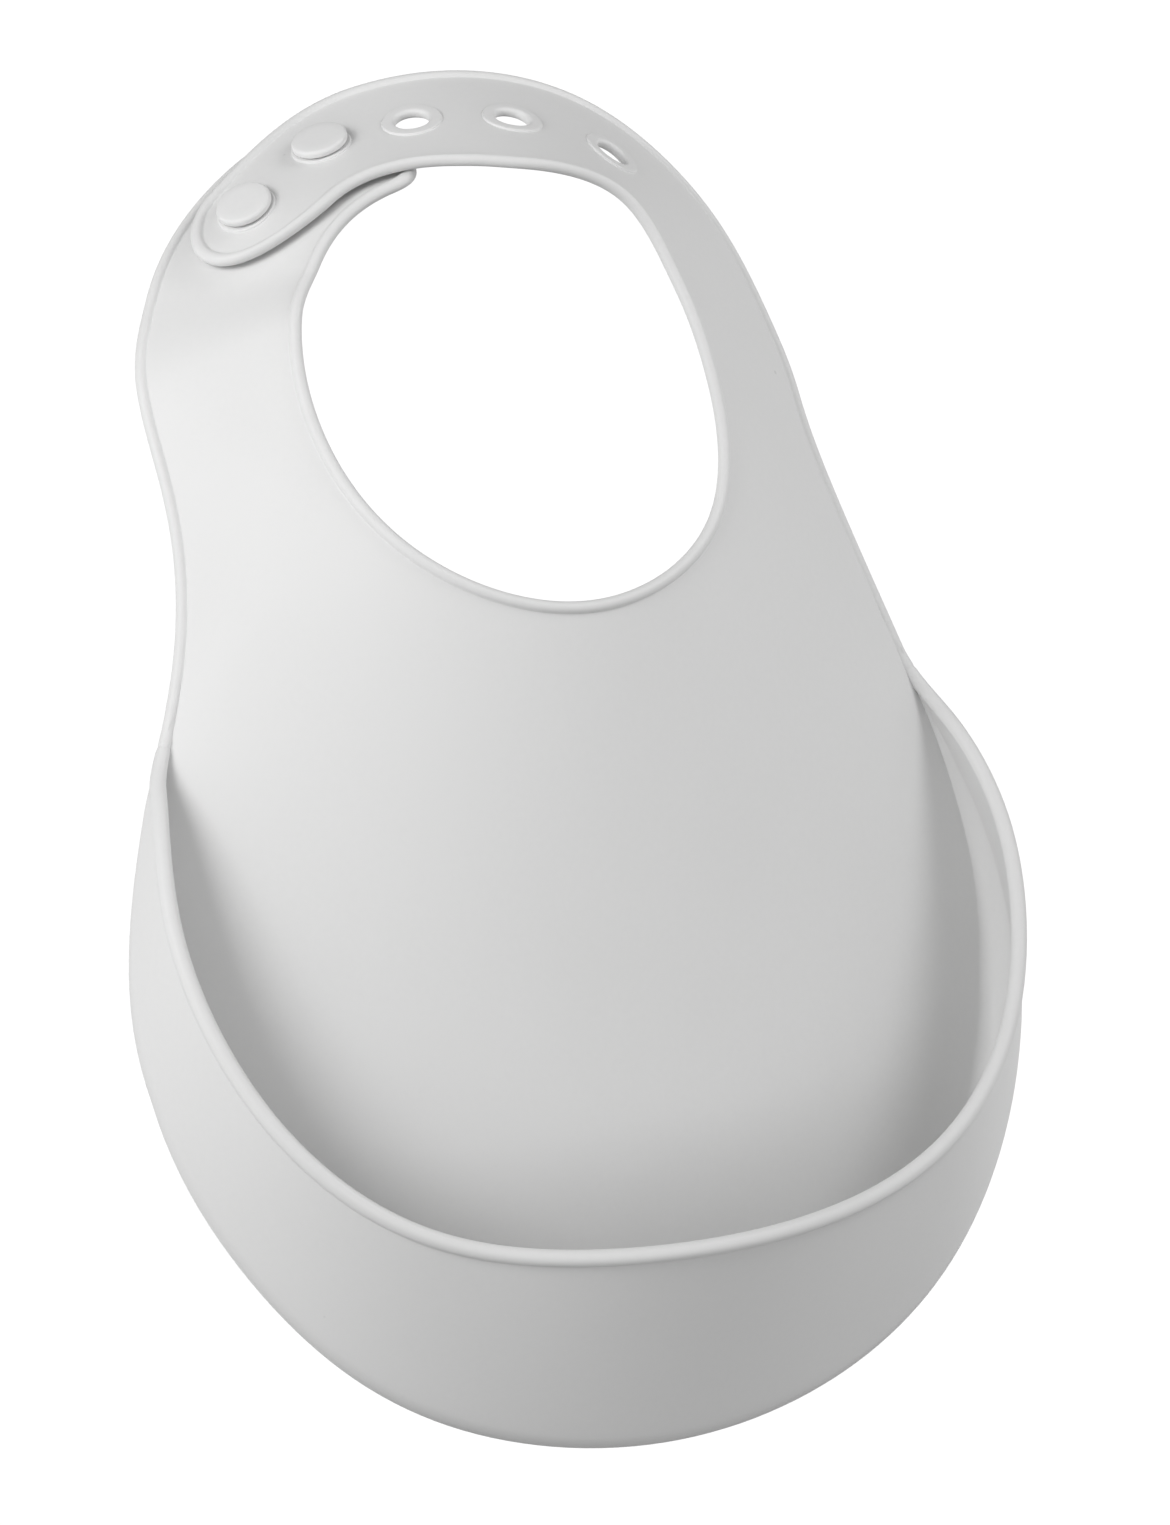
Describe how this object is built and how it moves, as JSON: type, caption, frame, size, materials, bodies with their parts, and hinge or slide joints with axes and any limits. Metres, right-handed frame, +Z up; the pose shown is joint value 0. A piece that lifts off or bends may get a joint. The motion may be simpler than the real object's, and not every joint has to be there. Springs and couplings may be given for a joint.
{
  "type": "silicone baby bib",
  "caption": "Soft silicone bib with a deep crumb-catching pocket and a neck strap that fastens with studs pushed through raised eyelets, shown fastened and upright as worn.",
  "frame": {"origin": "the middle of the neck opening, where the wearer's neck or a peg holds the bib", "axes": "+X to the wearer's left, +Y backwards towards the wearer, +Z up; the front of the bib faces -Y"},
  "size_m": [0.2231, 0.1195, 0.3225],
  "materials": {
    "silicone_sheet": "matt light grey silicone",
    "silicone_bead": "matt light grey silicone, rounded edge bead",
    "silicone_stud": "matt light grey silicone, smooth stud"
  },
  "bodies": {
    "bib_front": {"chest_panel": "silicone_sheet", "left_shoulder": "silicone_sheet", "right_shoulder": "silicone_sheet", "pocket_front": "silicone_sheet", "pocket_left": "silicone_sheet", "pocket_right": "silicone_sheet", "rim_bead_front": "silicone_bead", "rim_bead_left": "silicone_bead", "rim_bead_right": "silicone_bead", "neck_edge_bead": "silicone_bead", "left_edge_bead": "silicone_bead", "right_edge_bead": "silicone_bead", "eyelet_strap_flex": "silicone_sheet", "stud_strap_flex": "silicone_sheet"},
    "eyelet_strap": {"eyelet_strap_web": "silicone_sheet", "eyelet_strap_inner_bead": "silicone_bead", "eyelet_strap_outer_bead": "silicone_bead", "eyelet_3": "silicone_bead", "eyelet_4": "silicone_bead", "eyelet_5": "silicone_bead", "strap_tip_flex": "silicone_sheet"},
    "strap_tip": {"strap_tip_web": "silicone_sheet", "strap_tip_bead": "silicone_bead", "eyelet_1": "silicone_bead", "eyelet_2": "silicone_bead"},
    "stud_strap": {"stud_strap_web": "silicone_sheet", "stud_strap_bead": "silicone_bead", "stud_1": "silicone_stud", "stud_2": "silicone_stud"}
  },
  "joints": [
    {"name": "eyelet_strap_lift", "type": "hinge", "parent": "bib_front", "child": "eyelet_strap", "pos_m": [0.05288, 0.02145, 0.02721], "axis": [0.2994, 0.6834, 0.6658], "range_deg": [0, 60], "stiffness_Nm_per_rad": 0.02, "deforming": ["eyelet_strap_flex", "eyelet_1", "eyelet_2"]},
    {"name": "strap_tip_peel", "type": "hinge", "parent": "eyelet_strap", "child": "strap_tip", "pos_m": [-0.02247, 0.03622, 0.06209], "axis": [-0.3516, 0.8511, 0.3899], "range_deg": [0, 70], "stiffness_Nm_per_rad": 0.006, "deforming": ["strap_tip_flex", "eyelet_1", "eyelet_2"]},
    {"name": "stud_strap_bend", "type": "hinge", "parent": "bib_front", "child": "stud_strap", "pos_m": [-0.06983, 0.02269, 0.00553], "axis": [-0.6811, 0.7245, 0.106], "range_deg": [0, 40], "stiffness_Nm_per_rad": 0.02, "deforming": ["stud_strap_flex", "eyelet_1", "eyelet_2"]}
  ]
}
